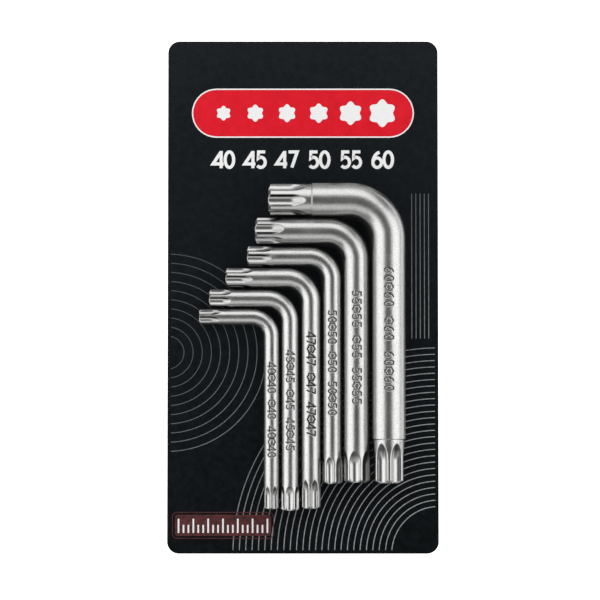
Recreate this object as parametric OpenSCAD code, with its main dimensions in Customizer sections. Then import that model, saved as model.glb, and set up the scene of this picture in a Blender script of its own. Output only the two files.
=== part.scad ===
// Set of six L-shaped star keys, nested side by side and stuck to a display card.
// The card lies flat with its back on Z = 0 and the middle of its back at the origin.
// X runs to the right of the card and Y to its top, and the keys lie on its face.
// A key has a long leg along Y and a short leg along X, and both end in a six-lobed star.
// Lengths are in millimetres and angles in degrees.

/* [Card] */
// Width of the card
card_w = 115.5; // [105:0.5:180]
// Height of the card
card_h = 219; // [195:0.5:320]
// Radius of the card's corners
card_corner_r = 5; // [1:0.5:12]
// Thickness of the grey board in the middle of the card
board_t = 1.2; // [0.5:0.1:3]
// Thickness of the printed sheet on the front
face_t = 0.2; // [0.1:0.05:0.6]
// Thickness of the liner on the back
liner_t = 0.2; // [0.1:0.05:0.6]

/* [Places on the card] */
// From the card's right edge to the largest key
right_margin = 14.35; // [8:0.1:22]
// From the card's top edge to the largest key
top_margin = 61.6; // [30:0.1:70]
// Free height between the card's face and the lowest point of a key
key_lift = 0.3; // [0.2:0.05:1]

/* [Tack dots] */
// Diameter of a dot of tack
dot_d = 4; // [2:0.1:5]
// Free height between a dot and the shank on it
dot_clear = 0.1; // [0.05:0.01:0.15]
// From a star's neck or a bend to the nearest edge of a dot
dot_inset = 4; // [1:0.5:6]

/* [Star ends] */
// Slope of the bevel on a star's end face
tip_bevel = 30; // [15:1:45]
// Growth of a flute's radius from its inner end to the star's end face
flute_draft = 0.05; // [0.02:0.01:0.1]

/* [Key 60] */
// Diameter of the shank
k60_shank_d = 14.1; // [12:0.1:18]
// Length of the long leg, over the bend
k60_long = 127.4; // [110:0.5:150]
// Length of the short leg, over the bend
k60_short = 58.1; // [50:0.1:66]
// Radius of the bend on its centre line
k60_bend_r = 16.5; // [12:0.1:20]
// Star across its lobes
k60_star_d = 13.25; // [12:0.05:15]
// Star across the roots of its flutes
k60_root_d = 9.5; // [8:0.05:11]
// Radius of a flute
k60_flute_r = 2.88; // [2.2:0.01:3.4]
// Length of the straight flutes
k60_flute_len = 10; // [7:0.1:14]
// Length over which a flute runs out
k60_runout = 6.3; // [3:0.1:7]
// Length of the head that carries the star
k60_head_len = 18.3; // [12:0.1:22]
// Length of the step from the head to the shank
k60_neck_len = 0.4; // [0.2:0.1:3]
// Turn of the short leg's star, lobe from front towards the top
k60_short_turn = 22; // [-30:1:30]
// Turn of the long leg's star, lobe from front towards the right
k60_long_turn = 0; // [-30:1:30]

/* [Key 55] */
// Diameter of the shank
k55_shank_d = 10.8; // [8:0.1:13]
// Length of the long leg, over the bend
k55_long = 112.2; // [95:0.5:125]
// Length of the short leg, over the bend
k55_short = 48.5; // [40:0.1:54]
// Radius of the bend on its centre line
k55_bend_r = 12.5; // [9:0.1:16]
// Star across its lobes
k55_star_d = 11.2; // [10:0.05:13]
// Star across the roots of its flutes
k55_root_d = 7.95; // [7:0.05:9]
// Radius of a flute
k55_flute_r = 2.6; // [2:0.01:3.1]
// Length of the straight flutes
k55_flute_len = 7.2; // [5:0.1:11]
// Length over which a flute runs out
k55_runout = 5.6; // [3:0.1:7]
// Length of the head that carries the star
k55_head_len = 10.6; // [8:0.1:15]
// Length of the taper from the head to the shank
k55_neck_len = 3; // [0.5:0.1:5]
// Turn of the short leg's star, lobe from front towards the top
k55_short_turn = -24; // [-30:1:30]
// Turn of the long leg's star, lobe from front towards the right
k55_long_turn = 20; // [-30:1:30]
// Free width between its long leg and the larger key's
k55_leg_gap = 0.9; // [0.3:0.05:4]
// Free width between its short leg and the larger key's
k55_arm_gap = 0.6; // [0.3:0.05:4]

/* [Key 50] */
// Diameter of the shank
k50_shank_d = 8; // [6:0.1:10]
// Length of the long leg, over the bend
k50_long = 100.6; // [85:0.5:115]
// Length of the short leg, over the bend
k50_short = 40.2; // [34:0.1:46]
// Radius of the bend on its centre line
k50_bend_r = 10; // [7:0.1:13]
// Star across its lobes
k50_star_d = 8.83; // [7.8:0.05:10.5]
// Star across the roots of its flutes
k50_root_d = 6.36; // [5.6:0.05:7]
// Radius of a flute
k50_flute_r = 1.8; // [1.5:0.01:2.3]
// Length of the straight flutes
k50_flute_len = 7.2; // [4:0.1:10]
// Length over which a flute runs out
k50_runout = 4; // [2.5:0.1:6]
// Length of the head that carries the star
k50_head_len = 9.2; // [7:0.1:13]
// Length of the taper from the head to the shank
k50_neck_len = 2.6; // [0.5:0.1:5]
// Turn of the short leg's star, lobe from front towards the top
k50_short_turn = 14; // [-30:1:30]
// Turn of the long leg's star, lobe from front towards the right
k50_long_turn = 15; // [-30:1:30]
// Free width between its long leg and the larger key's
k50_leg_gap = 0.3; // [0.3:0.05:4]
// Free width between its short leg and the larger key's
k50_arm_gap = 0.75; // [0.3:0.05:4]

/* [Key 47] */
// Diameter of the shank
k47_shank_d = 8.2; // [6.5:0.1:10]
// Length of the long leg, over the bend
k47_long = 102.1; // [88:0.5:110]
// Length of the short leg, over the bend
k47_short = 40.4; // [34:0.1:46]
// Radius of the bend on its centre line
k47_bend_r = 10.5; // [7.5:0.1:13]
// Star across its lobes
k47_star_d = 8.3; // [7.4:0.05:10]
// Star across the roots of its flutes
k47_root_d = 5.95; // [5.2:0.05:6.6]
// Radius of a flute
k47_flute_r = 1.78; // [1.5:0.01:2.2]
// Length of the straight flutes
k47_flute_len = 7.6; // [4:0.1:10]
// Length over which a flute runs out
k47_runout = 4.4; // [2.5:0.1:6]
// Length of the head that carries the star
k47_head_len = 10; // [7:0.1:13]
// Length of the taper from the head to the shank
k47_neck_len = 2.4; // [0.5:0.1:5]
// Turn of the short leg's star, lobe from front towards the top
k47_short_turn = 15; // [-30:1:30]
// Turn of the long leg's star, lobe from front towards the right
k47_long_turn = -8; // [-30:1:30]
// Free width between its long leg and the larger key's
k47_leg_gap = 0.45; // [0.3:0.05:4]
// Free width between its short leg and the larger key's
k47_arm_gap = 0.55; // [0.3:0.05:4]

/* [Key 45] */
// Diameter of the shank
k45_shank_d = 7.3; // [5.5:0.1:9]
// Length of the long leg, over the bend
k45_long = 93.7; // [80:0.5:104]
// Length of the short leg, over the bend
k45_short = 38.1; // [32:0.1:44]
// Radius of the bend on its centre line
k45_bend_r = 10; // [6.5:0.1:12]
// Star across its lobes
k45_star_d = 7.82; // [7:0.05:9.4]
// Star across the roots of its flutes
k45_root_d = 5.56; // [5:0.05:6.2]
// Radius of a flute
k45_flute_r = 1.76; // [1.4:0.01:2.1]
// Length of the straight flutes
k45_flute_len = 6.4; // [4:0.1:9]
// Length over which a flute runs out
k45_runout = 3.7; // [2.5:0.1:5]
// Length of the head that carries the star
k45_head_len = 8.2; // [6:0.1:12]
// Length of the taper from the head to the shank
k45_neck_len = 2.4; // [0.5:0.1:5]
// Turn of the short leg's star, lobe from front towards the top
k45_short_turn = 11; // [-30:1:30]
// Turn of the long leg's star, lobe from front towards the right
k45_long_turn = 26; // [-30:1:30]
// Free width between its long leg and the larger key's
k45_leg_gap = 0.8; // [0.3:0.05:4]
// Free width between its short leg and the larger key's
k45_arm_gap = 0.75; // [0.3:0.05:4]

/* [Key 40] */
// Diameter of the shank
k40_shank_d = 6.6; // [5:0.1:8]
// Length of the long leg, over the bend
k40_long = 84.9; // [70:0.5:95]
// Length of the short leg, over the bend
k40_short = 34.2; // [28:0.1:40]
// Radius of the bend on its centre line
k40_bend_r = 8.5; // [6:0.1:11]
// Star across its lobes
k40_star_d = 6.65; // [6:0.05:8]
// Star across the roots of its flutes
k40_root_d = 4.78; // [4.2:0.05:5.4]
// Radius of a flute
k40_flute_r = 1.41; // [1.2:0.01:1.8]
// Length of the straight flutes
k40_flute_len = 5.8; // [3.5:0.1:8]
// Length over which a flute runs out
k40_runout = 3.7; // [2:0.1:5]
// Length of the head that carries the star
k40_head_len = 7.8; // [6:0.1:11]
// Length of the taper from the head to the shank
k40_neck_len = 2; // [0.5:0.1:5]
// Turn of the short leg's star, lobe from front towards the top
k40_short_turn = 4; // [-30:1:30]
// Turn of the long leg's star, lobe from front towards the right
k40_long_turn = -5; // [-30:1:30]
// Free width between its long leg and the larger key's
k40_leg_gap = 0.6; // [0.3:0.05:4]
// Free width between its short leg and the larger key's
k40_arm_gap = 0.5; // [0.3:0.05:4]

/* [Hidden] */
$fn = 64;
// Size numbers of the keys, from the outermost to the innermost
sizes = [60, 55, 50, 47, 45, 40];
key_count = len(sizes);

shank_r = [k60_shank_d, k55_shank_d, k50_shank_d, k47_shank_d, k45_shank_d, k40_shank_d] / 2;
long_len = [k60_long, k55_long, k50_long, k47_long, k45_long, k40_long];
short_len = [k60_short, k55_short, k50_short, k47_short, k45_short, k40_short];
bend_r = [k60_bend_r, k55_bend_r, k50_bend_r, k47_bend_r, k45_bend_r, k40_bend_r];
star_r = [k60_star_d, k55_star_d, k50_star_d, k47_star_d, k45_star_d, k40_star_d] / 2;
root_r = [k60_root_d, k55_root_d, k50_root_d, k47_root_d, k45_root_d, k40_root_d] / 2;
flute_r = [k60_flute_r, k55_flute_r, k50_flute_r, k47_flute_r, k45_flute_r, k40_flute_r];
flute_len = [k60_flute_len, k55_flute_len, k50_flute_len, k47_flute_len, k45_flute_len, k40_flute_len];
runout = [k60_runout, k55_runout, k50_runout, k47_runout, k45_runout, k40_runout];
head_len = [k60_head_len, k55_head_len, k50_head_len, k47_head_len, k45_head_len, k40_head_len];
neck_len = [k60_neck_len, k55_neck_len, k50_neck_len, k47_neck_len, k45_neck_len, k40_neck_len];
short_turn = [k60_short_turn, k55_short_turn, k50_short_turn, k47_short_turn, k45_short_turn, k40_short_turn];
long_turn = [k60_long_turn, k55_long_turn, k50_long_turn, k47_long_turn, k45_long_turn, k40_long_turn];
leg_gap = [0, k55_leg_gap, k50_leg_gap, k47_leg_gap, k45_leg_gap, k40_leg_gap];
arm_gap = [0, k55_arm_gap, k50_arm_gap, k47_arm_gap, k45_arm_gap, k40_arm_gap];

// Lobes of a star, and how far a cutter reaches past the metal that it cuts
lobes = 6;
cut_past = 0.6;

// Half the room that a key takes, at its shank or at its stars
function reach(i) = max(shank_r[i], star_r[i]);

// Long leg's axis along X and short leg's axis along Y, each key set against the larger one
function leg_x(i) = i == 0
    ? card_w / 2 - right_margin - reach(0)
    : leg_x(i - 1) - reach(i - 1) - leg_gap[i] - reach(i);
function arm_y(i) = i == 0
    ? card_h / 2 - top_margin - reach(0)
    : arm_y(i - 1) - reach(i - 1) - arm_gap[i] - reach(i);

card_t = liner_t + board_t + face_t;
function axis_z(i) = card_t + key_lift + reach(i);

// Legs from the bend to their end faces
function leg_straight(i) = long_len[i] - shank_r[i] - bend_r[i];
function arm_straight(i) = short_len[i] - shank_r[i] - bend_r[i];

// Radius of the path on which a flute's cutter swings out of the metal
function path_r(i) = let (depth = reach(i) - root_r[i])
    round(100 * ((pow(runout[i], 2) + pow(depth, 2)) / (2 * depth) - flute_r[i])) / 100;

function key_node(i) = str("key_", sizes[i]);
function dots_node(i) = str("tack_dots_", sizes[i]);

// One layer of the card, from height z up
module card_layer(z, thickness) {
    inner_w = card_w - 2 * card_corner_r;
    inner_h = card_h - 2 * card_corner_r;
    translate([0, 0, z]) linear_extrude(thickness) {
        square([card_w, inner_h], center = true);
        square([inner_w, card_h], center = true);
        for (sx = [-1, 1], sy = [-1, 1])
            translate([sx * inner_w / 2, sy * inner_h / 2]) circle(card_corner_r);
    }
}

module card_liner() color("whitesmoke") card_layer(0, liner_t);

module card_board() color("tan") card_layer(liner_t, board_t);

module card_face() color("#1b2023") card_layer(liner_t + board_t, face_t);

// Cutter for one flute: along the star with a little draft, then swinging out of the metal
module flute_cutter(i) translate([root_r[i] + flute_r[i], 0, 0]) {
    swing = acos(1 - (reach(i) - root_r[i] + cut_past) / (path_r(i) + flute_r[i]));
    translate([0, 0, -cut_past])
        cylinder(r1 = flute_r[i] + flute_draft, r2 = flute_r[i], h = flute_len[i] + cut_past);
    translate([path_r(i), 0, flute_len[i]]) rotate([90, 0, 180])
        rotate_extrude(angle = swing) translate([path_r(i), 0]) circle(flute_r[i]);
}

// A leg that stands on its bend, with its star at the top and one lobe at angle lobe_at
module leg(i, length, lobe_at) {
    bevel_h = (star_r[i] - root_r[i]) * tan(tip_bevel);
    difference() {
        rotate_extrude() polygon([
            [0, 0],
            [shank_r[i], 0],
            [shank_r[i], length - head_len[i] - neck_len[i]],
            [star_r[i], length - head_len[i]],
            [star_r[i], length - bevel_h],
            [root_r[i], length],
            [0, length]
        ]);
        for (k = [0 : lobes - 1])
            translate([0, 0, length]) rotate(lobe_at + (k + 0.5) * 360 / lobes) rotate([180, 0, 0])
                flute_cutter(i);
    }
}

// A key: two legs joined by a round quarter bend
module star_key(i) color("silver") translate([leg_x(i), arm_y(i), axis_z(i)]) {
    translate([0, -bend_r[i], 0]) rotate([90, 0, 0]) leg(i, leg_straight(i), 90 - long_turn[i]);
    translate([-bend_r[i], 0, 0]) rotate([0, -90, 0]) leg(i, arm_straight(i), short_turn[i]);
    translate([-bend_r[i], -bend_r[i], 0]) rotate_extrude(angle = 90)
        translate([bend_r[i], 0]) circle(shank_r[i]);
}

// Dots of tack under a key's shank: two under the long leg and one under the short leg
module tack_dots(i) {
    dot_t = axis_z(i) - shank_r[i] - card_t - dot_clear;
    from_bend = bend_r[i] + dot_inset + dot_d / 2;
    from_tip = head_len[i] + neck_len[i] + dot_inset + dot_d / 2;
    plain_arm = arm_straight(i) - head_len[i] - neck_len[i];
    places = [
        [0, -from_bend],
        [0, -bend_r[i] - leg_straight(i) + from_tip],
        [-bend_r[i] - plain_arm / 2, 0]
    ];
    color("ivory") translate([leg_x(i), arm_y(i), card_t]) for (p = places)
        translate(p) cylinder(d = dot_d, h = dot_t);
}

card_board();
card_face();
card_liner();
for (i = [0 : key_count - 1]) {
    star_key(i);
    tack_dots(i);
}
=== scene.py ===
import bpy
import numpy as np
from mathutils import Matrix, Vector


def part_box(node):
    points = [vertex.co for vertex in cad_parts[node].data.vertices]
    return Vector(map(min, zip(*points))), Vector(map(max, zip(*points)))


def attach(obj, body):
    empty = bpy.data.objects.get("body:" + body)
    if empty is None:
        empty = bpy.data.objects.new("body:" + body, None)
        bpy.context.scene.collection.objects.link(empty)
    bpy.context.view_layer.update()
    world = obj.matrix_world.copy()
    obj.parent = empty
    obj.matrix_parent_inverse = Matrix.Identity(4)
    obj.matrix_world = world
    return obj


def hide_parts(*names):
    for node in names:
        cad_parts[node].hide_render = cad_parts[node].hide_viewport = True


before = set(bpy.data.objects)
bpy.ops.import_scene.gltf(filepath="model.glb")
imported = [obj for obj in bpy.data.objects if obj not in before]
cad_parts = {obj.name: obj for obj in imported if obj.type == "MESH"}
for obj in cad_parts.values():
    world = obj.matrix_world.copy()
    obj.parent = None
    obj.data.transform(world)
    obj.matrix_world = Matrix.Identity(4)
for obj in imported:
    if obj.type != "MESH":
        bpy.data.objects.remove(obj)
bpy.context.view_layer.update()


# Back liner
# A sheet of uncoated white paper, rolled and glued over the whole back of the card so that
# the board lies flat. Nothing is printed on it.
def linear(colour):
    """An sRGB hex colour as linear RGBA: each channel goes through the sRGB transfer curve."""
    c = np.array([int(colour[i:i + 2], 16) for i in (1, 3, 5)]) / 255
    return (*np.where(c <= 0.04045, c / 12.92, ((c + 0.055) / 1.055) ** 2.4), 1.0)


def add_node(tree, kind, inputs=None, **settings):
    """One shader node: settings are its own properties, and inputs maps a socket's name or
    place to a value, or to the output that is linked into it."""
    node = tree.nodes.new("ShaderNode" + kind)
    for name, value in settings.items():
        setattr(node, name, value)
    for socket, value in (inputs or {}).items():
        if isinstance(value, bpy.types.NodeSocket):
            tree.links.new(value, node.inputs[socket])
        else:
            node.inputs[socket].default_value = value
    return node


def new_finish(name):
    """A material with an empty node tree, and the Object coordinates that its patterns read."""
    finish = bpy.data.materials.new(name)
    finish.use_nodes = True
    finish.node_tree.nodes.clear()
    place = add_node(finish.node_tree, "TexCoord").outputs["Object"]
    return finish, finish.node_tree, place


def dress_node(node, finish):
    """Gives a CAD node's own solid a finish."""
    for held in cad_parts[node].material_slots:
        held.material = finish


# Uncoated wood-free paper: matt and near white, with a cloudy formation about 4 mm across and
# fibres about 0.3 mm wide that catch the light as a faint tooth.
liner_paper, tree, place = new_finish("uncoated_liner_paper")
cloud = add_node(tree, "TexNoise", {"Vector": place, "Scale": 1000 / 4, "Detail": 3})
tooth = add_node(tree, "TexNoise", {"Vector": place, "Scale": 1000 / 0.3, "Detail": 2})
shade = add_node(tree, "Mix", {0: cloud.outputs[0], 6: linear("#dedad0"), 7: linear("#f1eee7")},
                 data_type="RGBA")
relief = add_node(tree, "Bump", {"Height": tooth.outputs[0], "Strength": 0.35, "Distance": 0.00003})
paper = add_node(tree, "BsdfPrincipled", {"Base Color": shade.outputs[2], "Roughness": 0.9,
                                          "Normal": relief.outputs[0]})
add_node(tree, "OutputMaterial", {"Surface": paper.outputs[0]})
dress_node("card_liner", liner_paper)


# Grey board
# Recycled grey board, 1.2 mm thick, die-cut with rounded corners. It carries the sheets, and
# only its cut edge shows.
# Pressed waste paper: warm grey, with layers about 0.15 mm thick along the cut edge and dark
# flecks about 0.7 mm long.
grey_board, tree, place = new_finish("recycled_grey_board")
layers = add_node(tree, "Mapping", {"Vector": place, "Scale": (0.15, 0.15, 1)})
pressed = add_node(tree, "TexNoise", {"Vector": layers.outputs[0], "Scale": 1000 / 0.15, "Detail": 3})
fleck = add_node(tree, "TexNoise", {"Vector": place, "Scale": 1000 / 0.7, "Detail": 2})
dark = add_node(tree, "MapRange", {"Value": fleck.outputs[0], "From Min": 0.6, "From Max": 0.72})
pulp = add_node(tree, "Mix", {0: pressed.outputs[0], 6: linear("#8f877c"), 7: linear("#b9b2a6")},
                data_type="RGBA")
shade = add_node(tree, "Mix", {0: dark.outputs[0], 6: pulp.outputs[2], 7: linear("#5f594f")},
                 data_type="RGBA")
relief = add_node(tree, "Bump", {"Height": pressed.outputs[0], "Strength": 0.6, "Distance": 0.00005})
board = add_node(tree, "BsdfPrincipled", {"Base Color": shade.outputs[2], "Roughness": 0.92,
                                          "Normal": relief.outputs[0]})
add_node(tree, "OutputMaterial", {"Surface": board.outputs[0]})
dress_node("card_board", grey_board)


# Printed face sheet
# White coated paper printed solid black, varnished and glued to the board before the card is
# die-cut, so that the cut edge shows a trace of white.
# Offset black under a satin varnish: near-black with a blue cast, a little lighter towards the
# top, with the ink's mottle about 2.5 mm across and a fine orange peel about 0.5 mm across.
face_sheet, tree, place = new_finish("varnished_black_print")
part = add_node(tree, "SeparateXYZ", {"Vector": place})
rise = add_node(tree, "MapRange", {"Value": part.outputs[1], "From Min": -0.109, "From Max": 0.109})
mottle = add_node(tree, "TexNoise", {"Vector": place, "Scale": 1000 / 2.5, "Detail": 4})
peel = add_node(tree, "TexNoise", {"Vector": place, "Scale": 1000 / 0.5, "Detail": 1})
ink = add_node(tree, "Mix", {0: rise.outputs[0], 6: linear("#070b0d"), 7: linear("#14181c")},
               data_type="RGBA")
cast = add_node(tree, "MapRange", {"Value": mottle.outputs[0], "From Min": 0.35, "From Max": 0.65,
                                   "To Min": 0, "To Max": 0.25})
shade = add_node(tree, "Mix", {0: cast.outputs[0], 6: ink.outputs[2], 7: linear("#1c2125")},
                 data_type="RGBA")
gloss = add_node(tree, "MapRange", {"Value": mottle.outputs[0], "To Min": 0.2, "To Max": 0.3})
relief = add_node(tree, "Bump", {"Height": peel.outputs[0], "Strength": 0.12, "Distance": 0.00002})
sheet = add_node(tree, "BsdfPrincipled", {"Base Color": shade.outputs[2], "Normal": relief.outputs[0],
                                          "Roughness": gloss.outputs[0], "Specular IOR Level": 0.35})
add_node(tree, "OutputMaterial", {"Surface": sheet.outputs[0]})
dress_node("card_face", face_sheet)


# Print on the face
# Spot colours laid over the black: a red band with six star signs, the six size numbers below
# it, thin grey line work, and a dark red corner strip with a ruled scale. Each is a film of ink.
FACE_LEFT, FACE_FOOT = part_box("card_face")[0].x * 1000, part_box("card_face")[0].y * 1000
FACE_RIGHT, FACE_HEAD, FACE_TOP = (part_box("card_face")[1] * 1000)[:]
# Sizes in mm. A film of ink is one INK thick, and what is printed over it lies a little higher.
INK = 0.02
BAND_Y, BAND_WIDE, BAND_HIGH, RIM_OUT, RIM_WIDE = 78.6, 94, 20, 0.3, 0.55
KEY_SIZES = (40, 45, 47, 50, 55, 60)
SIGN_PITCH = 13.6
SIGN_RADIUS = {40: 3.2, 45: 3.7, 47: 3.9, 50: 4.2, 55: 5.1, 60: 6.0}
NUMBER_LEFT, NUMBER_Y, NUMBER_HIGH, NUMBER_PITCH, NUMBER_STROKE = -4.5, 58.6, 7.6, 4.75, 1.35
# The grey lines: first, end and pitch of the arcs' radii and of the pinstripes' places, and widths.
CORNER_ARCS, LEFT_ARCS, PINSTRIPES = (20, 88, 2.7), (7, 46, 3.9), (46.5, 55.5, 1.8)
CORNER_LINE, LEFT_LINE, PINSTRIPE_LINE = 0.38, 0.34, 0.32
LEFT_ARCS_Y, EDGE_MARGIN = -24, 1.5
PINSTRIPE_TOP, PINSTRIPE_FOOT = 44.0, -18.0
STRIP_X, STRIP_Y, STRIP_WIDE, STRIP_HIGH, STRIP_CORNER = -34.0, -97.5, 41, 9, 1.2
FRAME_GAP, FRAME_CORNER, FRAME_WIDE = 1, 2, 0.35
MARKS, MARK_PITCH, MARK_FOOT, MARK_WIDE, LONG_MARK, SHORT_MARK = 19, 2.1, -3.2, 0.7, 6.0, 3.4


def loft(rings, loop=False):
    """A skin over rings of points, an array of rows by columns by 3 in mm. Each ring closes on
    itself, neighbours in two rings make a quad, and both ends are closed by a fan to their ring's
    mean point. A loop joins the last ring to the first instead. The outside is on the side of
    along-rows cross along-columns."""
    rows, columns = rings.shape[:2]
    at = np.arange(rows * columns).reshape(rows, columns)
    here, there = (at, np.roll(at, -1, 0)) if loop else (at[:-1], at[1:])
    quads = np.stack([here, there, np.roll(there, -1, 1), np.roll(here, -1, 1)], -1).reshape(-1, 4)
    points, faces = [rings.reshape(-1, 3)], quads.tolist()
    for ring, turned in () if loop else ((0, False), (-1, True)):
        rim, after = at[ring], np.roll(at[ring], -1)
        hub = np.full(columns, sum(len(p) for p in points))
        fan = (after, rim, hub) if turned else (rim, after, hub)
        faces += np.stack(fan, -1).tolist()
        points.append(rings[ring].mean(0, keepdims=True))
    return np.vstack(points), faces


def make_piece(name, parts, finish, body, crease=None):
    """One object at the origin from lofts in mm, riding on a body. With a crease angle in
    degrees it is shaded smooth, and edges that turn more than that stay sharp."""
    points, faces, count = [], [], 0
    for part_points, part_faces in parts:
        faces += [[corner + count for corner in face] for face in part_faces]
        points.append(part_points)
        count += len(part_points)
    mesh = bpy.data.meshes.new(name)
    mesh.from_pydata(np.vstack(points) * 0.001, [], faces)
    if crease:
        mesh.shade_smooth()
        mesh.set_sharp_from_angle(angle=np.radians(crease))
    mesh.materials.append(finish)
    piece = bpy.data.objects.new(name, mesh)
    bpy.context.collection.objects.link(piece)
    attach(piece, body)
    return piece


def ink_patch(outline, low, high):
    """A flat film: an outline that runs clockwise, raised from low to high and closed."""
    ring = lambda z: np.column_stack([outline, np.full(len(outline), z)])
    return loft(np.stack([ring(low), ring(high)]))


def ink_line(path, width, low, high, loop=False):
    """A printed line: a rectangle of the given width carried along a path. At a corner the
    offset is the mean of both sides' normals, lengthened so that the width holds."""
    step = np.roll(path, -1, 0) - path if loop else np.diff(path, axis=0)
    normal = np.column_stack([-step[:, 1], step[:, 0]]) / np.linalg.norm(step, axis=1)[:, None]
    if loop:
        before, after = np.roll(normal, 1, 0), normal
    else:
        before, after = np.vstack([normal[:1], normal]), np.vstack([normal, normal[-1:]])
    lean = 1 + np.sum(before * after, 1, keepdims=True)
    offset = (before + after) / np.maximum(lean, 0.35) * width / 2
    level = lambda flat, z: np.column_stack([flat, np.full(len(flat), z)])
    ring = [level(path - offset, high), level(path + offset, high),
            level(path + offset, low), level(path - offset, low)]
    return loft(np.stack(ring, 1), loop=loop)


def round_box(centre, width, height, corner, count=10):
    """A rectangle with quarter-circle corners, clockwise. Where two corners meet, the point that
    they share is kept once."""
    turn = np.radians(np.linspace(90, 0, count))
    arcs = [np.column_stack([np.cos(turn - k * np.pi / 2), np.sin(turn - k * np.pi / 2)]) * corner
            + np.array([sx * (width / 2 - corner), sy * (height / 2 - corner)])
            for k, (sx, sy) in enumerate(((1, 1), (1, -1), (-1, -1), (-1, 1)))]
    outline = np.vstack(arcs)
    return outline[np.linalg.norm(outline - np.roll(outline, 1, 0), axis=1) > 1e-6] + centre


def star_sign(centre, radius, count=72):
    """A six-lobed outline, clockwise: the radius swings by 13 % six times in a turn."""
    turn = np.linspace(0, -2 * np.pi, count, endpoint=False) + np.pi / 2
    reach = radius * (1 + 0.13 * np.cos(6 * turn + np.pi)) / 1.13
    return np.column_stack([np.cos(turn), np.sin(turn)]) * reach[:, None] + centre


def arc(x, y, rx, ry, start, end, count=14):
    """Points on an ellipse from one angle to another, in degrees."""
    turn = np.radians(np.linspace(start, end, count))
    return np.column_stack([x + rx * np.cos(turn), y + ry * np.sin(turn)])


# Plain numerals as centre lines in a box 0.6 wide and 1 high.
NUMERALS = {
    "0": [arc(0.3, 0.5, 0.24, 0.44, 90, 450, 29)],
    "4": [np.array([(0.46, 0.95), (0.0, 0.26), (0.6, 0.26)]),
          np.array([(0.46, 0.02), (0.46, 0.99)])],
    "5": [np.vstack([[(0.52, 0.94), (0.15, 0.94), (0.12, 0.56)],
                     arc(0.28, 0.35, 0.25, 0.29, 115, -140)])],
    "6": [arc(0.3, 0.33, 0.24, 0.27, 90, 450, 29), arc(0.55, 0.33, 0.49, 0.61, 104, 180, 10)],
    "7": [np.array([(0.05, 0.94), (0.54, 0.94), (0.24, 0.06)])],
}


def number_lines(text, height, pitch):
    """Centre lines of a row of numerals, set pitch apart, centred on y = 0 and starting at x = 0.
    A star in the text gives the six-lobed sign, and a space leaves a gap."""
    lines = []
    for k, letter in enumerate(text):
        left = np.array([k * pitch, -height / 2])
        if letter == "*":
            sign = star_sign(np.array([k * pitch + 0.3 * height, 0]), 0.42 * height, 36)
            lines.append(np.vstack([sign, sign[:1]]))
        else:
            lines += [line * height + left for line in NUMERALS.get(letter, [])]
    return lines


# Warm red spot ink under varnish: even and saturated, a little denser and lighter in patches
# about 3 mm across where the ink lies unevenly over the black.
red_ink, tree, place = new_finish("red_spot_ink")
mottle = add_node(tree, "TexNoise", {"Vector": place, "Scale": 1000 / 3, "Detail": 4})
shade = add_node(tree, "Mix", {0: mottle.outputs[0], 6: linear("#d0001c"), 7: linear("#ec0c27")},
                 data_type="RGBA")
gloss = add_node(tree, "MapRange", {"Value": mottle.outputs[0], "To Min": 0.34, "To Max": 0.46})
film = add_node(tree, "BsdfPrincipled", {"Base Color": shade.outputs[2], "Roughness": gloss.outputs[0],
                                         "Specular IOR Level": 0.35})
add_node(tree, "OutputMaterial", {"Surface": film.outputs[0]})

# Opaque white ink: bright, with the black just showing through in specks about 0.8 mm across.
white_ink, tree, place = new_finish("opaque_white_ink")
speck = add_node(tree, "TexNoise", {"Vector": place, "Scale": 1000 / 0.8, "Detail": 3})
shade = add_node(tree, "Mix", {0: speck.outputs[0], 6: linear("#e9e9e8"), 7: linear("#ffffff")},
                 data_type="RGBA")
film = add_node(tree, "BsdfPrincipled", {"Base Color": shade.outputs[2], "Roughness": 0.45})
add_node(tree, "OutputMaterial", {"Surface": film.outputs[0]})

# The band is kept out of reflections, because it would tint the upper edge of the largest key.
band_centre = np.array([0.0, BAND_Y])
band = ink_patch(round_box(band_centre, BAND_WIDE, BAND_HIGH, BAND_HIGH / 2), FACE_TOP, FACE_TOP + INK)
make_piece("print_band", [band], red_ink, "card").visible_glossy = False

columns = [np.array([(k - 2.5) * SIGN_PITCH, 0]) for k in range(6)]
rim = round_box(band_centre, BAND_WIDE + 2 * RIM_OUT, BAND_HIGH + 2 * RIM_OUT, BAND_HIGH / 2 + RIM_OUT)
white_parts = [ink_line(rim, RIM_WIDE, FACE_TOP, FACE_TOP + 2 * INK, loop=True)]
for column, size in zip(columns, KEY_SIZES):
    white_parts.append(ink_patch(star_sign(column + band_centre, SIGN_RADIUS[size]),
                                 FACE_TOP + INK, FACE_TOP + 2 * INK))
    start = column + np.array([NUMBER_LEFT, NUMBER_Y])
    for k, line in enumerate(number_lines(str(size), NUMBER_HIGH, NUMBER_PITCH)):
        closed = np.allclose(line[0], line[-1])
        white_parts.append(ink_line((line[:-1] if closed else line) + start, NUMBER_STROKE, FACE_TOP,
                                    FACE_TOP + INK * (1 + 0.2 * k), loop=closed))
make_piece("print_white", white_parts, white_ink, "card")

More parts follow.
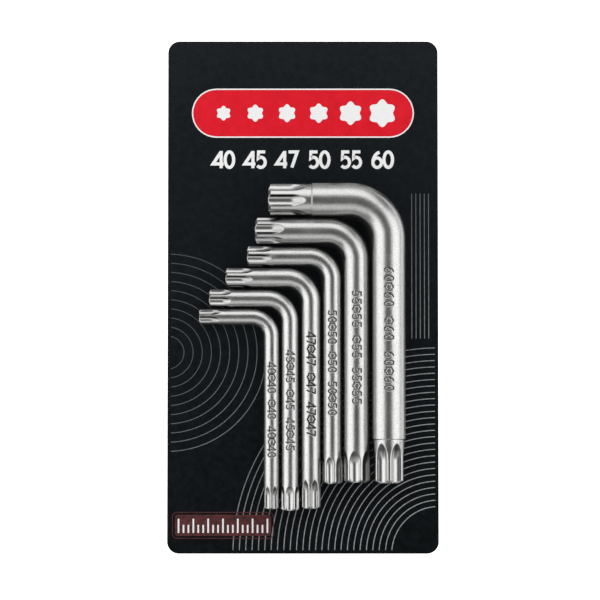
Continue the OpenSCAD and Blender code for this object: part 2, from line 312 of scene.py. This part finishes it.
# Thin grey ink lines: screened ink, brightest at the bottom right and fading to the top left.
grey_ink, tree, place = new_finish("screened_grey_ink")
part = add_node(tree, "SeparateXYZ", {"Vector": place})
slant = add_node(tree, "Math", {0: part.outputs[0], 1: part.outputs[1]}, operation="SUBTRACT")
side = add_node(tree, "MapRange", {"Value": slant.outputs[0], "From Min": -0.02, "From Max": 0.11})
screen = add_node(tree, "TexNoise", {"Vector": place, "Scale": 1000 / 1.2, "Detail": 2})
ink = add_node(tree, "Mix", {0: side.outputs[0], 6: linear("#4a4e51"), 7: linear("#a2a5a7")},
               data_type="RGBA")
worn = add_node(tree, "MapRange", {"Value": screen.outputs[0], "From Min": 0.4, "From Max": 0.7,
                                   "To Max": 0.4})
shade = add_node(tree, "Mix", {0: worn.outputs[0], 6: ink.outputs[2], 7: linear("#2b2f33")},
                 data_type="RGBA")
film = add_node(tree, "BsdfPrincipled", {"Base Color": shade.outputs[2], "Roughness": 0.45})
add_node(tree, "OutputMaterial", {"Surface": film.outputs[0]})

line_parts = []
for radius in np.arange(*CORNER_ARCS):
    short = np.degrees(np.arcsin(EDGE_MARGIN / radius))
    path = arc(FACE_RIGHT, FACE_FOOT, radius, radius, 180 - short, 90 + short, 60)
    line_parts.append(ink_line(path, CORNER_LINE, FACE_TOP, FACE_TOP + INK))
for radius in np.arange(*LEFT_ARCS):
    short = np.degrees(np.arcsin(EDGE_MARGIN / radius))
    path = arc(FACE_LEFT, LEFT_ARCS_Y, radius, radius, 90 - short, -90 + short, 60)
    line_parts.append(ink_line(path, LEFT_LINE, FACE_TOP, FACE_TOP + INK))
for x in np.arange(*PINSTRIPES):
    path = np.array([(x, PINSTRIPE_TOP), (x, PINSTRIPE_FOOT)])
    line_parts.append(ink_line(path, PINSTRIPE_LINE, FACE_TOP, FACE_TOP + INK))
make_piece("print_lines", line_parts, grey_ink, "card")

# Dark red ink over black: dull, broken into patches about 2 mm across where it lies thinly.
maroon_ink, tree, place = new_finish("dark_red_ink_over_black")
thin = add_node(tree, "TexNoise", {"Vector": place, "Scale": 1000 / 2, "Detail": 6, "Roughness": 0.7})
break_up = add_node(tree, "MapRange", {"Value": thin.outputs[0], "From Min": 0.35, "From Max": 0.62})
shade = add_node(tree, "Mix", {0: break_up.outputs[0], 6: linear("#2c1416"), 7: linear("#5f2527")},
                 data_type="RGBA")
film = add_node(tree, "BsdfPrincipled", {"Base Color": shade.outputs[2], "Roughness": 0.45})
add_node(tree, "OutputMaterial", {"Surface": film.outputs[0]})
strip_centre, strip_top = np.array([STRIP_X, STRIP_Y]), FACE_TOP + 1.5 * INK
frame_line = round_box(strip_centre, STRIP_WIDE + 2 * FRAME_GAP, STRIP_HIGH + 2 * FRAME_GAP, FRAME_CORNER)
strip = [ink_patch(round_box(strip_centre, STRIP_WIDE, STRIP_HIGH, STRIP_CORNER), FACE_TOP, strip_top),
         ink_line(frame_line, FRAME_WIDE, FACE_TOP, strip_top, loop=True)]
make_piece("print_strip", strip, maroon_ink, "card")
scale = []
for mark in range(MARKS):
    foot = strip_centre + np.array([(mark - (MARKS - 1) / 2) * MARK_PITCH, MARK_FOOT])
    head = foot + np.array([0, LONG_MARK if mark % 3 == 0 else SHORT_MARK])
    scale.append(ink_line(np.array([foot, head]), MARK_WIDE, strip_top, FACE_TOP + 2 * INK))
make_piece("print_scale", scale, white_ink, "card")


# Star keys
# Six L keys of round chrome vanadium steel: forged to a six-lobed star on both ends, bent cold,
# stamped with their size, blasted with beads and nickel plated. The star ends stay brighter.
# Sizes in mm and turns in degrees, from the largest key to the smallest. The flutes run straight
# for fluted, and on the long end for long_more besides. A stamp runs from and to a distance from
# the short leg's axis, and is darker the more it is inked. A painted dark flute is the turn of a
# long end's flute that is painted dark all along as shade, or 0 for none.
KEYS = {
    60: dict(shank=14.1, long=127.4, short=58.1, bend=16.5, star=13.25,
             root=9.5, flute=2.88, fluted=8.6, runout=7.5, head=18.3, neck=0.4,
             short_turn=22, long_more=0.7, long_turn=0, leg_gap=0, arm_gap=0,
             stamp=(29.2, 81.5), letter=4.2, inked=1, painted_dark_flute=0),
    55: dict(shank=10.8, long=112.2, short=48.5, bend=12.5, star=11.2,
             root=7.95, flute=2.6, fluted=5.9, runout=7.0, head=10.6, neck=3,
             short_turn=-24, long_more=1.1, long_turn=20, leg_gap=0.9, arm_gap=0.6,
             stamp=(25.75, 73.75), letter=4.1, inked=1, painted_dark_flute=50),
    50: dict(shank=8, long=100.6, short=40.2, bend=10, star=8.83,
             root=6.36, flute=1.8, fluted=5.6, runout=5.8, head=9.2, neck=2.6,
             short_turn=14, long_more=1.2, long_turn=15, leg_gap=0.3, arm_gap=0.75,
             stamp=(23.1, 67.7), letter=3.9, inked=1, painted_dark_flute=45),
    47: dict(shank=8.2, long=102.1, short=40.4, bend=10.5, star=8.3,
             root=5.95, flute=1.78, fluted=6.0, runout=5.8, head=10, neck=2.4,
             short_turn=15, long_more=0.7, long_turn=-8, leg_gap=0.45, arm_gap=0.55,
             stamp=(23.25, 67.45), letter=4.0, inked=2.2, painted_dark_flute=0),
    45: dict(shank=7.3, long=93.7, short=38.1, bend=10, star=7.82,
             root=5.56, flute=1.76, fluted=5.2, runout=4.8, head=8.2, neck=2.4,
             short_turn=11, long_more=1.2, long_turn=26, leg_gap=0.8, arm_gap=0.75,
             stamp=(22.15, 64.65), letter=3.8, inked=1, painted_dark_flute=0),
    40: dict(shank=6.6, long=84.9, short=34.2, bend=8.5, star=6.65,
             root=4.78, flute=1.41, fluted=4.6, runout=4.6, head=7.8, neck=2,
             short_turn=4, long_more=0.5, long_turn=-5, leg_gap=0.6, arm_gap=0.5,
             stamp=(19.5, 59.9), letter=3.8, inked=1, painted_dark_flute=0),
}
RIGHT_MARGIN, TOP_MARGIN, KEY_LIFT = 14.35, 61.6, 0.3
BEVEL = np.tan(np.radians(30))
# The lobes are forged rounder on the long ends than on the short ones. A rounding is a share of
# a lobe's width, RAMP_EASE a share of the run-out, and a flute's radius grows by FLUTE_GROWTH.
SHORT_ROUNDING, LONG_ROUNDING = 0.25, 0.75
RAMP_EASE, FLUTE_GROWTH = 0.3, 0.8
# Painted shade: on a short end a flute's wall is painted dark from a steepness that grows with the
# star and is less where the flute runs out, and only where it leans that many degrees from the
# front. On a long end the top of a flute's arch is painted dark from a share of the run-out. A
# range is what it takes to full dark.
WALL_FROM, WALL_PER_STAR, WALL_RANGE = 0.2, 0.034, 0.35
OUT_LESS, OUT_RANGE_LESS = 0.3, 0.15
LEAN_FROM, LEAN_RANGE = 28, 10
ARCH_FROM, ARCH_RANGE, ARCH_DARK, ARCH_SUNK = 0.32, 0.4, 0.8, 0.12
FLANK_DARK, FLANK_SUNK, FLANK_HALF = 0.75, 0.3, 0.46
STAMP_DEPTH, STAMP_STROKE = 0.2, 0.36

side_reach = 0
for key in KEYS.values():
    reach = max(key["shank"], key["star"]) / 2
    if side_reach == 0:
        leg_x = FACE_RIGHT - RIGHT_MARGIN - reach
        arm_y = FACE_HEAD - TOP_MARGIN - reach
    else:
        leg_x -= side_reach + key["leg_gap"] + reach
        arm_y -= side_reach + key["arm_gap"] + reach
    side_reach = reach
    key.update(leg_x=leg_x, arm_y=arm_y, axis_z=FACE_TOP + KEY_LIFT + reach)


def star_radius(depth, turn, key, fluted, rounding):
    """Radius of a star end at a depth from the end face and a turn from a lobe. The bar is
    bevelled from root to star, straight along the head, then a cone to the shank. A flute is a
    circle whose centre stands off the bar's axis. It runs straight in, and then ramps out, growing
    on the way, until it leaves the bar. Inside the bar and outside the circle are two distances,
    their smooth minimum rounds the lobe between two flutes, and halving the range finds where it
    is nought."""
    star, root, shank = key["star"] / 2, key["root"] / 2, key["shank"] / 2
    bar = np.interp(depth, [0, (star - root) * BEVEL, key["head"], key["head"] + key["neck"]],
                    [root, star, star, shank]) * np.ones_like(turn)
    ease = RAMP_EASE * key["runout"]
    past = np.maximum(depth - fluted, 0)
    rise = np.where(past < ease, past ** 2 / (2 * ease), past - ease / 2) / (key["runout"] - ease / 2)
    flute = key["flute"] * (1 + FLUTE_GROWTH * rise)
    centre = root + flute + rise * (star - root)
    off = np.mod(turn, np.pi / 3) - np.pi / 6
    stand_off = root + key["flute"]
    crest = np.sqrt(star ** 2 + stand_off ** 2 - 3 ** 0.5 * star * stand_off) - key["flute"]
    soft = rounding * crest * np.clip(1 - rise, 0.2, 1)
    low, high = 0.6 * root * np.ones_like(bar), bar.copy()
    for _ in range(26):
        middle = (low + high) / 2
        from_flute = np.sqrt(middle ** 2 + centre ** 2 - 2 * middle * centre * np.cos(off)) - flute
        from_skin = bar - middle
        blend = np.maximum(soft - np.abs(from_skin - from_flute), 0) ** 2 / (4 * soft)
        inside = np.minimum(from_skin, from_flute) - blend
        low, high = np.where(inside > 0, middle, low), np.where(inside > 0, high, middle)
    return low


def stamp_depth(along, across, lines):
    """How deep the stamp goes at each grid point: a rounded groove whose depth falls off with
    the square of the distance to the nearest centre line."""
    near = np.full((along.size, across.size), 9.0)
    for line in lines:
        rows = np.abs(along - line[:, 0].mean()) < np.ptp(line[:, 0]) / 2 + 1
        spot = np.stack(np.meshgrid(along[rows], across, indexing="ij"), -1)[:, :, None]
        start, step = line[:-1], np.diff(line, axis=0)
        share = np.clip(np.sum((spot - start) * step, -1) / np.sum(step ** 2, -1), 0, 1)
        gap = np.linalg.norm(spot - start - share[..., None] * step, axis=-1).min(-1)
        near[rows] = np.minimum(near[rows], gap)
    return np.clip(1 - (near / STAMP_STROKE) ** 2, 0, 1)


def even(start, end, step):
    """Values from start to end, no further apart than step."""
    return np.linspace(start, end, max(2, int(np.ceil(abs(end - start) / step)) + 1))


def dark_share(radius, way, turn, total, ends, key):
    """How far each point of the star ends is darkened with painted shade, standing in for shade and
    for dark reflections: steep walls of the short end's flutes, the tops of the arches where the
    long end's flutes run out, and the long end's painted dark flute. The wall's lean is the angle of
    its normal from the front."""
    spread = np.mod(np.roll(turn, -1) - np.roll(turn, 1), 2 * np.pi)
    slope = (np.roll(radius, -1, 1) - np.roll(radius, 1, 1)) / (radius * spread)
    lean = np.abs(np.mod(turn - np.arctan(slope) + np.pi, 2 * np.pi) - np.pi)
    out = np.clip(2 * (way - key["fluted"]) / key["runout"], 0, 1)[:, None]
    steep = np.abs(slope) - WALL_FROM - WALL_PER_STAR * key["star"] + OUT_LESS * out
    painted_shade = np.clip(steep / (WALL_RANGE - OUT_RANGE_LESS * out), 0, 1)
    painted_shade *= np.clip((np.degrees(lean) - LEAN_FROM) / LEAN_RANGE, 0, 1) * (way < ends)[:, None]

    back = (total - way)[:, None]
    sunk = radius.max(1, keepdims=True) - radius
    ramp = (back - key["fluted"] - key["long_more"]) / key["runout"]
    arch = np.clip((ramp - ARCH_FROM) / ARCH_RANGE, 0, ARCH_DARK) * np.clip(sunk / ARCH_SUNK, 0, 1)
    beside = np.abs(turn - np.radians(key["painted_dark_flute"])) < FLANK_HALF
    flank = FLANK_DARK * np.clip(sunk / FLANK_SUNK, 0, 1) * beside * (key["painted_dark_flute"] > 0)
    return np.maximum(painted_shade, np.maximum(arch, flank) * (back < ends))


def bent_key(size, key):
    """A round bar carried along its bend, from the short end's face to the long end's: straight
    in +X, a quarter circle, then straight in -Y. A point is the centre line plus the radius
    times (cosine of the turn towards the front, sine towards the left of the way). Also gives, at
    each point, how bright the surface is worked, how far it is darkened with painted shade, and
    how dark the stamp is."""
    shank, bend = key["shank"] / 2, key["bend"]
    arm, leg = key["short"] - shank - bend, key["long"] - shank - bend
    quarter = bend * np.pi / 2
    total = arm + quarter + leg
    bevel = (key["star"] - key["root"]) / 2 * BEVEL
    ends = key["head"] + key["neck"]
    fade = min(key["fluted"] + key["runout"] + 0.8, key["head"])
    tip = np.concatenate([even(0, bevel, bevel / 4), even(bevel, key["fluted"], 1.5),
                          even(key["fluted"], fade, 0.22), even(fade, key["head"], 0.4),
                          even(key["head"], ends, 0.22)])
    stamp_from, stamp_to = arm + quarter - bend + np.array(key["stamp"])
    way = np.unique(np.round(np.concatenate([
        tip, even(ends, arm, 4), even(arm, arm + quarter, quarter / 26),
        even(arm + quarter, stamp_from - 0.5, 4), even(stamp_from - 0.5, stamp_to + 0.5, 0.2),
        even(stamp_to + 0.5, total - ends, 4), total - tip]), 4))

    half = (key["letter"] / 2 + 0.6) / shank
    fine = even(-half, half, 0.13 / shank)
    coarse = even(half, 2 * np.pi - half, (0.2 if shank > 6 else 0.16) / shank)[1:-1]
    turn = np.concatenate([fine, coarse])

    radius = np.full((way.size, turn.size), shank)
    for depth, lobe, more, rounding in ((way, key["short_turn"], 0, SHORT_ROUNDING),
                                        (total - way, key["long_turn"], key["long_more"], LONG_ROUNDING)):
        rows = depth < ends
        radius[rows] = star_radius(depth[rows][:, None], (turn - np.radians(lobe))[None, :], key,
                                   key["fluted"] + more, rounding)
    dark = dark_share(radius, way, turn, total, ends, key)
    text = f"{size}*{size} *{size} {size}*{size}"
    pitch = (stamp_to - stamp_from - 0.6 * key["letter"]) / (len(text) - 1)
    rows = (way > stamp_from - 0.6) & (way < stamp_to + 0.6)
    stamp = np.zeros_like(radius)
    lines = number_lines(text, key["letter"], pitch)
    stamp[rows, :fine.size] = stamp_depth(way[rows] - stamp_from, fine * shank, lines)
    radius -= STAMP_DEPTH * stamp

    lean = np.clip((way - arm) / bend, 0, np.pi / 2)
    x = key["leg_x"] - bend + bend * np.sin(lean) + np.minimum(way - arm, 0)
    y = key["arm_y"] - bend + bend * np.cos(lean) - np.maximum(way - arm - quarter, 0)
    out = radius * np.sin(turn)
    rings = np.stack([x[:, None] + out * np.sin(lean)[:, None],
                      y[:, None] + out * np.cos(lean)[:, None],
                      key["axis_z"] + radius * np.cos(turn)], -1)
    depth = np.minimum(way, total - way)
    worked = key["fluted"] + key["runout"]
    bright = np.clip((worked + 0.8 - depth) / 1.6, 0, 1)[:, None] * np.ones_like(turn)
    inked = np.clip(key["inked"] * stamp, 0, 1)
    return loft(rings), bright.ravel(), dark.ravel(), inked.ravel()


# Bead-blasted, nickel-plated steel: a soft grey sheen with a grain of about 0.25 mm, drawn at
# 0.6 mm so that it shows, and faint clouds about 6 mm across. The forged star ends are smoother
# and even in colour. Dark oxide stays in the stamped numbers, and the stars' flutes are darkened
# with painted shade.
satin_steel, tree, place = new_finish("bead_blasted_nickel_steel")
bright = add_node(tree, "Attribute", attribute_name="bright")
# Painted shade on the star ends' flutes, as a share from 0 to 1.
painted_shade = add_node(tree, "Attribute", attribute_name="painted_shade")
stamped = add_node(tree, "Attribute", attribute_name="stamped")
grain = add_node(tree, "TexNoise", {"Vector": place, "Scale": 1000 / 0.6, "Detail": 3, "Roughness": 0.6})
speckle = add_node(tree, "MapRange", {"Value": grain.outputs[0], "From Min": 0.36, "From Max": 0.64})
cloud = add_node(tree, "TexNoise", {"Vector": place, "Scale": 1000 / 6, "Detail": 3})
blasted = add_node(tree, "Mix", {0: speckle.outputs[0], 6: linear("#b5b5b4"), 7: linear("#cfcfce")},
                   data_type="RGBA")
plain = add_node(tree, "Mix", {0: bright.outputs["Fac"], 6: blasted.outputs[2], 7: linear("#c2c2c1")},
                 data_type="RGBA")
# The darker of the stamp's oxide and the flutes' painted shade takes the dark grey.
oxide_and_painted_shade = add_node(tree, "Math", {0: stamped.outputs["Fac"], 1: painted_shade.outputs["Fac"]}, operation="MAXIMUM")
shade = add_node(tree, "Mix", {0: oxide_and_painted_shade.outputs[0], 6: plain.outputs[2], 7: linear("#2c2c2b")},
                 data_type="RGBA")
veil = add_node(tree, "MapRange", {"Value": cloud.outputs[0], "From Min": 0.3, "From Max": 0.7,
                                   "To Min": 0.3, "To Max": 0.35})
smooth = add_node(tree, "Mix", {0: bright.outputs["Fac"], 2: veil.outputs[0], 3: 0.3})
relief = add_node(tree, "Bump", {"Height": grain.outputs[0], "Strength": 0.6, "Distance": 0.0001})
steel = add_node(tree, "BsdfPrincipled", {"Base Color": shade.outputs[2], "Metallic": 1.0,
                                          "Roughness": smooth.outputs[0], "Normal": relief.outputs[0]})
add_node(tree, "OutputMaterial", {"Surface": steel.outputs[0]})

for size, key in KEYS.items():
    skin, bright, dark, inked = bent_key(size, key)
    piece = make_piece(f"star_key_{size}", [skin], satin_steel, f"key_{size}", crease=38)
    # The second attribute is the star ends' painted shade.
    for name, values, hub in (("bright", bright, 1), ("painted_shade", dark, 0), ("stamped", inked, 0)):
        values = np.append(values, (hub, hub))
        held = piece.data.attributes.new(name, "FLOAT", "POINT")
        held.data.foreach_set("value", values.astype(np.float32))
    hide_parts(f"key_{size}")


# Tack dots
# Three dots of pale hot-melt tack under each key hold it to the card. They are laid warm, and
# the key presses a shallow bed into each before it sets.
DOT, DOT_INSET, DOT_CLEAR = 4.0, 4.0, 0.1
# Hot-melt tack: clear amber to milky, soft and a little shiny, with bubbles about 0.6 mm across.
tack, tree, place = new_finish("pale_hot_melt_tack")
bubble = add_node(tree, "TexNoise", {"Vector": place, "Scale": 1000 / 0.6, "Detail": 2})
shade = add_node(tree, "Mix", {0: bubble.outputs[0], 6: linear("#cfc29c"), 7: linear("#efe8d2")},
                 data_type="RGBA")
relief = add_node(tree, "Bump", {"Height": bubble.outputs[0], "Strength": 0.3, "Distance": 0.0001})
gum = add_node(tree, "BsdfPrincipled", {"Base Color": shade.outputs[2], "Roughness": 0.32,
                                        "Subsurface Weight": 0.4,
                                        "Subsurface Radius": (0.0012, 0.001, 0.0006),
                                        "Normal": relief.outputs[0]})
add_node(tree, "OutputMaterial", {"Surface": gum.outputs[0]})


def pressed_dot(x, y, key, across):
    """A low dome over a round foot: the height falls off with the fourth power of the radius,
    and is cut down to the underside of the bar that presses on it, a cylinder along one axis."""
    share = np.array([1, 0.99, 0.96, 0.9, 0.8, 0.68, 0.54, 0.4, 0.26, 0.13])[:, None]
    turn = np.linspace(0, -2 * np.pi, 40, endpoint=False)[None, :]
    dx, dy = share * np.cos(turn) * DOT / 2, share * np.sin(turn) * DOT / 2
    thick = key["axis_z"] - key["shank"] / 2 - FACE_TOP - DOT_CLEAR
    dome = FACE_TOP + (thick + 0.35) * (1 - share ** 4) ** 0.5 * np.ones_like(turn)
    away = dx if across == "x" else dy
    bed = key["axis_z"] - np.sqrt((key["shank"] / 2) ** 2 - away ** 2) - DOT_CLEAR
    return loft(np.stack([x + dx, y + dy, np.minimum(dome, bed)], -1))


for size, key in KEYS.items():
    shank, bend = key["shank"] / 2, key["bend"]
    ends = key["head"] + key["neck"]
    from_bend = bend + DOT_INSET + DOT / 2
    from_tip = key["long"] - shank - ends - DOT_INSET - DOT / 2
    plain_arm = key["short"] - shank - bend - ends
    dots = [pressed_dot(key["leg_x"], key["arm_y"] - from_bend, key, "x"),
            pressed_dot(key["leg_x"], key["arm_y"] - from_tip, key, "x"),
            pressed_dot(key["leg_x"] - bend - plain_arm / 2, key["arm_y"], key, "y")]
    piece = make_piece(f"tack_{size}", dots, tack, "card", crease=50)
    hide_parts(f"tack_dots_{size}")


# Studio
# The card lies flat on a white table. Soft boxes stand slantwise over its left, right and top, a
# weaker one over its foot, and nothing hangs straight above, where the camera is.
# White laminate: even, with a cloudiness about 0.1 m across. It glows for the camera so that the
# background is white, and less in reflections.
TABLE_GLOW, MIRRORED_GLOW = 0.85, 0.3
TABLE_REACH, TABLE_DROP = 6, -0.0001
white_table, tree, place = new_finish("white_table")
sheen = add_node(tree, "TexNoise", {"Vector": place, "Scale": 8, "Detail": 2})
shade = add_node(tree, "Mix", {0: sheen.outputs[0], 6: linear("#f4f4f4"), 7: linear("#fafafa")},
                 data_type="RGBA")
seen = add_node(tree, "LightPath")
mirrored = add_node(tree, "Math", {0: seen.outputs["Is Glossy Ray"],
                                   1: seen.outputs["Is Transmission Ray"]}, operation="MAXIMUM")
dimmed = add_node(tree, "Math", {0: mirrored.outputs[0], 1: MIRRORED_GLOW}, operation="MULTIPLY")
lift = add_node(tree, "Math", {0: seen.outputs["Is Camera Ray"], 1: TABLE_GLOW, 2: dimmed.outputs[0]},
                operation="MULTIPLY_ADD")
top = add_node(tree, "BsdfPrincipled", {"Base Color": shade.outputs[2], "Roughness": 0.8,
                                        "Emission Color": linear("#ffffff"),
                                        "Emission Strength": lift.outputs[0]})
add_node(tree, "OutputMaterial", {"Surface": top.outputs[0]})
mesh = bpy.data.meshes.new("table")
corners = ((-1, -1), (1, -1), (1, 1), (-1, 1))
mesh.from_pydata([(sx * TABLE_REACH, sy * TABLE_REACH, TABLE_DROP) for sx, sy in corners], [],
                 [(0, 1, 2, 3)])
mesh.materials.append(white_table)
table = bpy.data.objects.new("table", mesh)
bpy.context.collection.objects.link(table)

# Each lamp: degrees round from +X, metres away, degrees from straight above, width, height and
# radiance.
LAMPS = {
    "soft_box_left": (181, 0.32, 57, 0.37, 0.385, 1.8),
    "soft_box_right": (6, 0.4, 54, 0.41, 0.405, 1.8),
    "soft_box_top": (90, 0.5, 52.5, 0.51, 0.455, 1.58),
    "soft_box_bottom": (270, 0.5, 57, 0.69, 0.40, 0.9),
}
for name, (way_round, away, from_above, wide, high, level) in LAMPS.items():
    round_by, down_by = np.radians(way_round), np.radians(from_above)
    spot = away * Vector((np.cos(round_by) * np.sin(down_by), np.sin(round_by) * np.sin(down_by),
                          np.cos(down_by)))
    lamp = bpy.data.lights.new(name, "AREA")
    lamp.shape, lamp.size, lamp.size_y = "RECTANGLE", wide, high
    lamp.energy = level * np.pi * wide * high
    holder = bpy.data.objects.new(name, lamp)
    holder.location = spot
    holder.rotation_euler = (-spot).to_track_quat("-Z", "Y").to_euler()
    bpy.context.collection.objects.link(holder)

world = bpy.data.worlds.new("room")
world.use_nodes = True
world.node_tree.nodes["Background"].inputs[0].default_value = linear("#8c8c8c")
world.node_tree.nodes["Background"].inputs[1].default_value = 0.15
bpy.context.scene.world = world
bpy.context.scene.view_settings.view_transform = "Standard"

# The camera stands 1.2 m over the card, tipped three degrees from straight above towards the
# card's bottom edge. The picture is 256 mm wide at the card.
CAMERA_AWAY, CAMERA_TIP, VIEW_WIDE = 1.2, np.radians(2.97), 0.2562
aim = Vector((-0.00125, -0.00155, 0.0016))
lens = bpy.data.cameras.new("camera")
lens.sensor_width = 36
lens.lens = 36 * CAMERA_AWAY / VIEW_WIDE
camera = bpy.data.objects.new("camera", lens)
camera.location = aim + Vector((0, -np.sin(CAMERA_TIP), np.cos(CAMERA_TIP))) * CAMERA_AWAY
camera.rotation_euler = (CAMERA_TIP, 0, 0)
bpy.context.collection.objects.link(camera)
bpy.context.scene.camera = camera
